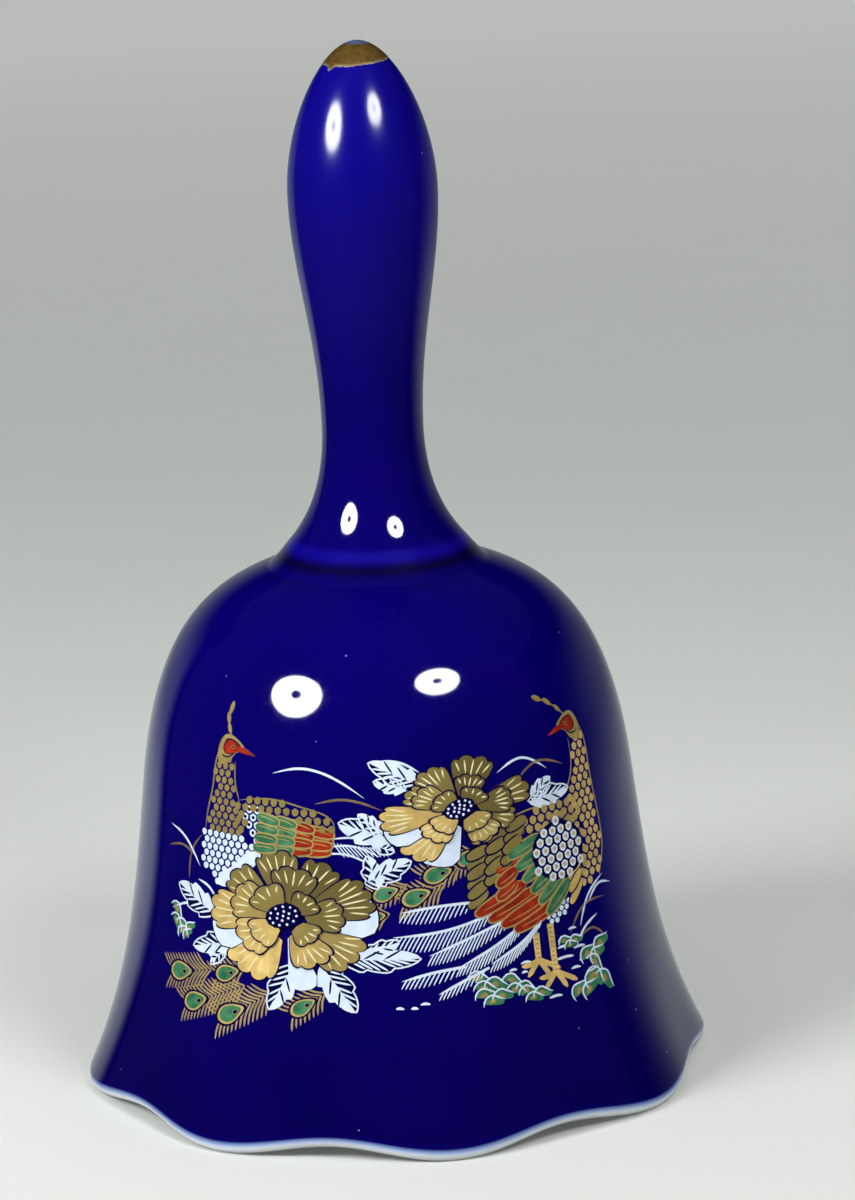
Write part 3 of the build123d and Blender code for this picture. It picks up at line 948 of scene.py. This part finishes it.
def paint_ground(level):
    """Rocks under the right bird, a tuft on the left, short dashes, and arching grass."""
    rocks = (
        ((11.2, 20.4), 1.5, -25), ((11.9, 18.6), 1.4, -10), ((15.2, 19.2), 1.4, -35),
        ((17.2, 17.8), 1.3, -15), ((24.6, 17.4), 1.6, 30), ((27.0, 18.2), 1.6, -60), ((26.9, 21.4), 1.6, 20),
        ((23.2, 23.2), 1.1, -5), ((-29.8, 26.2), 1.5, -50), ((-28.4, 25.4), 1.1, 30),
    )
    for place, size, turn in rocks:
        rock(place, size, turn, level)
    dashes = (
        (0.2, 18.2, 0.9), (1.9, 18.2, 0.8), (3.0, 18.7, 1.1), (14.0, 21.2, 1.0), (15.6, 21.8, 1.4),
        (21.0, 22.6, 1.6), (23.4, 22.1, 1.8), (20.6, 21.2, 2.6), (24.0, 20.4, 1.8), (22.6, 19.6, 1.4),
        (15.6, 20.6, 0.8), (18.9, 16.6, 1.8), (23.0, 24.6, 1.2),
    )
    for x, z, length in dashes:
        stroke("white", [(x, z), (x + length / 2, z + 0.12), (x + length, z)], 0.34, level, ends=(0.4, 0.4))
    white_grass = (
        ((-33.0, 38.0), (-30.0, 37.2), (-26.4, 33.9)), ((-31.6, 27.4), (-29.0, 28.6), (-25.0, 29.2)),
        ((-26.6, 32.2), (-24.6, 31.6), (-23.0, 29.8)),
        ((-15.2, 47.1), (-11.5, 47.9), (-7.0, 47.0), (-2.8, 44.5)),
        ((15.0, 46.1), (18.8, 47.3), (22.7, 45.3)), ((-1.0, 48.9), (2.0, 48.6), (4.6, 47.2)),
        ((25.0, 24.6), (27.2, 28.2), (30.4, 30.0)), ((27.0, 27.2), (29.4, 29.0), (31.8, 28.5)),
        ((24.0, 22.4), (25.6, 24.2), (28.2, 25.4)),
    )
    brown_grass = (
        ((-33.2, 35.2), (-29.8, 35.9), (-27.0, 34.8)), ((-28.4, 32.0), (-28.0, 35.8), (-26.2, 38.0)),
        ((-9.2, 43.7), (-5.5, 44.3), (-0.5, 42.9)), ((17.5, 44.5), (21.0, 46.4), (25.7, 45.2)),
        ((23.2, 24.0), (26.0, 27.0), (30.0, 27.2)), ((24.6, 23.2), (27.0, 23.9), (29.2, 22.1)),
    )
    for colour, lines in (("white", white_grass), ("brown", brown_grass)):
        for line in lines:
            stroke(colour, line, 0.3, level, ends=(0.15, 0.1))


def paint_bell():
    """The whole painting, from the back levels to the front, as one piece for each ink."""
    chance = random.Random(5)
    paint_ground(0)
    paint_tail_eyes(0)
    paint_right_bird(2)
    paint_left_bird(2)
    paint_leaves(6)
    lower = ((100, 0.96, 25, 4, 0), (60, 0.94, 22, 3, 0), (142, 0.92, 23, 3, 0), (324, 0.98, 31, 5, 0),
             (236, 1.0, 33, 5, 0), (22, 1.04, 27, 5, -19), (180, 1.02, 25, 4, 20))
    upper = ((75, 1.0, 28, 4, 0), (120, 0.92, 24, 4, 0), (14, 1.04, 22, 3, 0), (336, 0.8, 22, 3, 0),
             (296, 0.74, 24, 3, 0), (152, 0.84, 20, 3, 0), (228, 1.1, 25, 4, 20), (186, 1.1, 22, 4, 17))
    peony((-12.8, 29.3), (10.9, 8.7), (282,), lower, 12, chance)
    peony((9.6, 42.3), (9.6, 6.5), (), upper, 12, chance)
    for colour, ink in INKS.items():
        obj = new_object("decal_" + colour, ink.verts, ink.faces, sharp=60)
        paint(obj, "tone_and_light", ink.tone_and_light_values)
        obj.data.materials.append(INK_MATERIALS[colour]())
        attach(obj, "bell")


# ---------------------------------------------------------------- stage, lights and camera

def make_stage():
    """A flat pale floor that glows more with distance from the bell, as the overhead light fades.
    The glaze mirrors the card instead."""
    half = 2500.0
    corners = [(-half, -half, 0.0), (half, -half, 0.0), (half, half, 0.0), (-half, half, 0.0)]
    stage = new_object("stage", corners, [(0, 1, 2, 3)])
    material, tree = new_material("stage_paper")
    place = tree.nodes.new("ShaderNodeTexCoord").outputs["Object"]
    parts = tree.nodes.new("ShaderNodeSeparateXYZ")
    tree.links.new(place, parts.inputs["Vector"])
    # Painted shade: the floor's colour is darker near the front, where the lamps light it most, lightest a
    # little behind the bell, and darker again towards the back.
    depth = scaled(tree, parts.outputs["Y"], (-0.12, 0.38))
    colour = ramp(tree, depth, (0.0, (0.44, 0.45, 0.435)), (0.35, (0.55, 0.57, 0.545)),
                  (1.0, (0.45, 0.48, 0.45)))
    mottle = grain(tree, 14.0, (0.3, 0.0), (0.7, 0.10))
    away = tree.nodes.new("ShaderNodeVectorMath")
    away.operation = "LENGTH"
    tree.links.new(place, away.inputs[0])
    glow = scaled(tree, away.outputs["Value"], (0.0, 1.1), (0.06, 0.43))
    inputs = {"Base Color": mixed(tree, mottle, colour, (0.35, 0.36, 0.34)), "Roughness": 0.9,
              "Specular IOR Level": 0.1, "Emission Color": (0.97, 1.0, 0.97), "Emission Strength": glow}
    for name, value in inputs.items():
        connect(tree, value, tree.nodes["Principled BSDF"].inputs[name])
    stage.data.materials.append(material)
    stage.visible_glossy = False


def glowing(name, strength, colour=(1.0, 1.0, 1.0)):
    """A material that only gives light."""
    material, tree = new_material(name)
    tree.nodes.clear()
    glow = tree.nodes.new("ShaderNodeEmission")
    glow.inputs["Color"].default_value = (*colour, 1.0)
    glow.inputs["Strength"].default_value = strength
    out = tree.nodes.new("ShaderNodeOutputMaterial")
    tree.links.new(glow.outputs[0], out.inputs["Surface"])
    return material


def fade(value, dark, lit):
    """Goes smoothly from 0 to 1 as a value goes from dark to lit."""
    share = np.clip((value - dark) / (lit - dark), 0, 1)
    return share * share * (3 - 2 * share)


def make_card():
    """The soft grey surround that only the glaze mirrors: a curved card behind and beside the bell.
    Bearings are in degrees from the front, clockwise seen from above, and heights in millimetres."""
    distance, bearings, heights = 420.0, np.linspace(238, 84, 90), np.linspace(-400, 330, 50)
    verts, glow = [], []
    for bearing in bearings:
        turn = math.radians(bearing)
        side = fade(bearing, 236, 226) * (0.7 * fade(bearing, 92, 135) + 0.3 * fade(bearing, 150, 195))
        for height in heights:
            verts.append((distance * math.sin(turn), -distance * math.cos(turn), height))
            glow.append(side * (0.26 + 0.34 * fade(height, 40, -60)) * fade(height, 230, 50))
    rows = len(heights)
    faces = [(rows * i + k, rows * i + k + 1, rows * (i + 1) + k + 1, rows * (i + 1) + k)
             for i in range(len(bearings) - 1) for k in range(rows - 1)]
    obj = new_object("surround_card", verts, faces)
    paint(obj, "glow", glow)
    material = glowing("surround_glow", 1.0, (0.93, 1.0, 0.96))
    tree = material.node_tree
    tree.links.new(attribute(tree, "glow"), tree.nodes["Emission"].inputs["Strength"])
    obj.data.materials.append(material)
    obj.visible_camera = obj.visible_diffuse = obj.visible_shadow = False


def ring_lamp(name, place, outer, inner, stretch, strength):
    """A lit oval ring that faces the bell, as a reflector with its bulb in the middle."""
    count = 48
    turns = [2 * math.pi * i / count for i in range(count)]
    verts = [(radius * stretch * math.cos(turn), radius * math.sin(turn), 0.0)
             for radius in (inner, outer) for turn in turns]
    faces = [(i, (i + 1) % count, count + (i + 1) % count, count + i) for i in range(count)]
    lamp = new_object(name, verts, faces)
    aim = (Vector((0, 0, 75 * MM)) - Vector(place) * MM).normalized()
    turn = aim.to_track_quat("Z", "Y").to_matrix().to_4x4()
    lamp.matrix_world = Matrix.Translation(Vector(place) * MM) @ turn
    lamp.data.materials.append(glowing(name, strength))
    lamp.visible_camera = False


def overhead_light(place, width, watts):
    """A soft square light that faces the origin. The glaze doesn't mirror it."""
    light = bpy.data.lights.new("overhead", "AREA")
    light.shape = "RECTANGLE"
    light.size = light.size_y = width * MM
    light.energy = watts
    obj = bpy.data.objects.new("overhead", light)
    turn = (-Vector(place)).to_track_quat("-Z", "Y").to_matrix().to_4x4()
    obj.matrix_world = Matrix.Translation(Vector(place) * MM) @ turn
    obj.visible_glossy = False
    bpy.context.scene.collection.objects.link(obj)


def make_lights():
    """Two round lamps in front, a card behind, a little soft light from above and a dim room."""
    ring_lamp("left_lamp", (-280, -230, 296), 80, 15, 1.25, 28.0)
    ring_lamp("right_lamp", (195, -285, 372), 64, 12, 1.4, 26.0)
    make_card()
    overhead_light((0, -100, 1100), 1200, 6.0)
    world = bpy.data.worlds.new("room")
    world.use_nodes = True
    tree = world.node_tree
    ray = tree.nodes.new("ShaderNodeLightPath")
    shade = mixed(tree, ray.outputs["Is Camera Ray"], (0.02, 0.02, 0.022), (0.47, 0.50, 0.48))
    tree.links.new(shade, tree.nodes["Background"].inputs["Color"])
    bpy.context.scene.world = world


def make_camera():
    """The camera in front of the painted side, a little above and leaning slightly."""
    tilt, lean, distance = math.radians(14.1), math.radians(-2.3), 605.0
    across = Vector((1, 0, 0))
    forward = Vector((0, math.cos(tilt), -math.sin(tilt)))
    upright = across.cross(forward)
    right = across * math.cos(lean) + upright * math.sin(lean)
    up = right.cross(forward)
    place = Vector((6.1, -distance * math.cos(tilt), 61.6 + distance * math.sin(tilt))) * MM
    camera = bpy.data.objects.new("camera", bpy.data.cameras.new("camera"))
    camera.matrix_world = Matrix.Translation(place) @ Matrix((right, up, -forward)).transposed().to_4x4()
    camera.data.sensor_width = 36.0
    camera.data.lens = 141.1
    camera.data.clip_start = 0.05
    bpy.context.scene.collection.objects.link(camera)
    bpy.context.scene.camera = camera


glaze = cobalt_glaze()
for skin, node in ((make_bell(), "bell_body"), (make_handle(), "handle")):
    skin.data.materials.append(glaze)
    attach(skin, "bell")
    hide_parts(node)

gilding = make_gilding()
gilding.data.materials.append(gilt())
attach(gilding, "bell")

OUTER = bell_outlines()[0][::-1]
SKIN_PROFILE = (OUTER[:, 1], OUTER[:, 0], np.gradient(OUTER[:, 0], OUTER[:, 1]))
paint_bell()

wire = brass()
for node, finish in (("crown_plug", plaster()), ("hanger_staple", wire), ("upper_link", wire),
                     ("lower_link", wire),
                     ("clapper_wire", wire), ("clapper_ball", white_glaze())):
    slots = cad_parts[node].data.materials
    slots.clear()
    slots.append(finish)

make_stage()
make_lights()
make_camera()
bpy.context.scene.view_settings.view_transform = "Standard"
